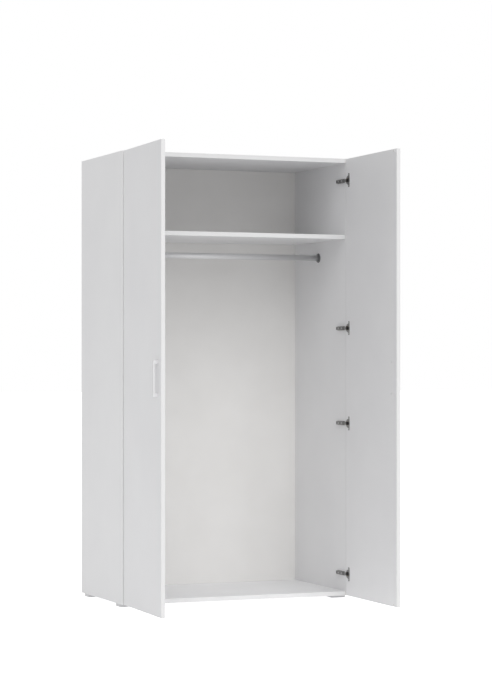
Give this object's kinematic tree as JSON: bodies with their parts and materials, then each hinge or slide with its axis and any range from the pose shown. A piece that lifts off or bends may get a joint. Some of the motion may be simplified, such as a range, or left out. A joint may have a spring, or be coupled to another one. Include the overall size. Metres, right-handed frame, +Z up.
{
  "type": "wardrobe",
  "caption": "Tall white free-standing wardrobe with hinged doors, a top shelf and a clothes rail, standing on low pad feet.",
  "frame": {"origin": "on the floor, under the centre of the carcass footprint", "axes": "+Z up, the doors are on the -Y side, +X to the right of a person who faces the doors"},
  "size_m": [1.0532, 1.0479, 1.85],
  "materials": {
    "white_board": "white foil on chipboard, satin",
    "white_door": "white foil on chipboard, satin",
    "hardboard": "white lacquered hardboard, smooth",
    "rail_tube": "bright plated steel tube",
    "support_metal": "dark grey satin",
    "screw_steel": "zinc plated",
    "hinge_steel": "nickel plated, satin",
    "foot_plastic": "moulded, matte",
    "handle_plastic": "moulded, satin",
    "cam_zinc": "die cast, dull",
    "dowel_wood": "bare beech",
    "bumper": "translucent soft plastic"
  },
  "bodies": {
    "carcass": {"side_panel_left": "white_board", "side_panel_right": "white_board", "top_panel": "white_board", "bottom_panel": "white_board", "shelf": "white_board", "back_panel": "hardboard", "clothes_rail": "rail_tube", "rail_support_left": "support_metal", "rail_support_right": "support_metal", "rail_support_screws": "screw_steel", "plate_screws_left": "screw_steel", "plate_screws_right": "screw_steel", "arm_screws_left": "screw_steel", "arm_screws_right": "screw_steel", "cam_housings": "cam_zinc", "cam_bolts": "screw_steel", "dowels": "dowel_wood", "back_nails": "screw_steel", "foot_nails": "screw_steel", "foot_front_left": "foot_plastic", "foot_front_right": "foot_plastic", "foot_back_left": "foot_plastic", "foot_back_right": "foot_plastic", "hinge_arm_left_1": "hinge_steel", "hinge_plate_left_1": "hinge_steel", "hinge_arm_left_2": "hinge_steel", "hinge_plate_left_2": "hinge_steel", "hinge_arm_left_3": "hinge_steel", "hinge_plate_left_3": "hinge_steel", "hinge_arm_left_4": "hinge_steel", "hinge_plate_left_4": "hinge_steel", "hinge_arm_right_1": "hinge_steel", "hinge_plate_right_1": "hinge_steel", "hinge_arm_right_2": "hinge_steel", "hinge_plate_right_2": "hinge_steel", "hinge_arm_right_3": "hinge_steel", "hinge_plate_right_3": "hinge_steel", "hinge_arm_right_4": "hinge_steel", "hinge_plate_right_4": "hinge_steel"},
    "door_left": {"door_left": "white_door", "handle_left": "handle_plastic", "handle_screws_left": "screw_steel", "hinge_pins_left": "screw_steel", "cup_screws_left": "screw_steel", "door_bumpers_left": "bumper", "hinge_cup_left_1": "hinge_steel", "hinge_cup_left_2": "hinge_steel", "hinge_cup_left_3": "hinge_steel", "hinge_cup_left_4": "hinge_steel"},
    "door_right": {"door_right": "white_door", "handle_right": "handle_plastic", "handle_screws_right": "screw_steel", "hinge_pins_right": "screw_steel", "cup_screws_right": "screw_steel", "door_bumpers_right": "bumper", "hinge_cup_right_1": "hinge_steel", "hinge_cup_right_2": "hinge_steel", "hinge_cup_right_3": "hinge_steel", "hinge_cup_right_4": "hinge_steel"}
  },
  "joints": [
    {"name": "door_left_hinge", "type": "hinge", "parent": "carcass", "child": "door_left", "pos_m": [-0.4956, -0.283, 0.931], "axis": [0, 0, -1], "range_deg": [-92.5, 7.5]},
    {"name": "door_right_hinge", "type": "hinge", "parent": "carcass", "child": "door_right", "pos_m": [0.4956, -0.283, 0.931], "axis": [0, 0, 1], "range_deg": [-89, 11]}
  ]
}
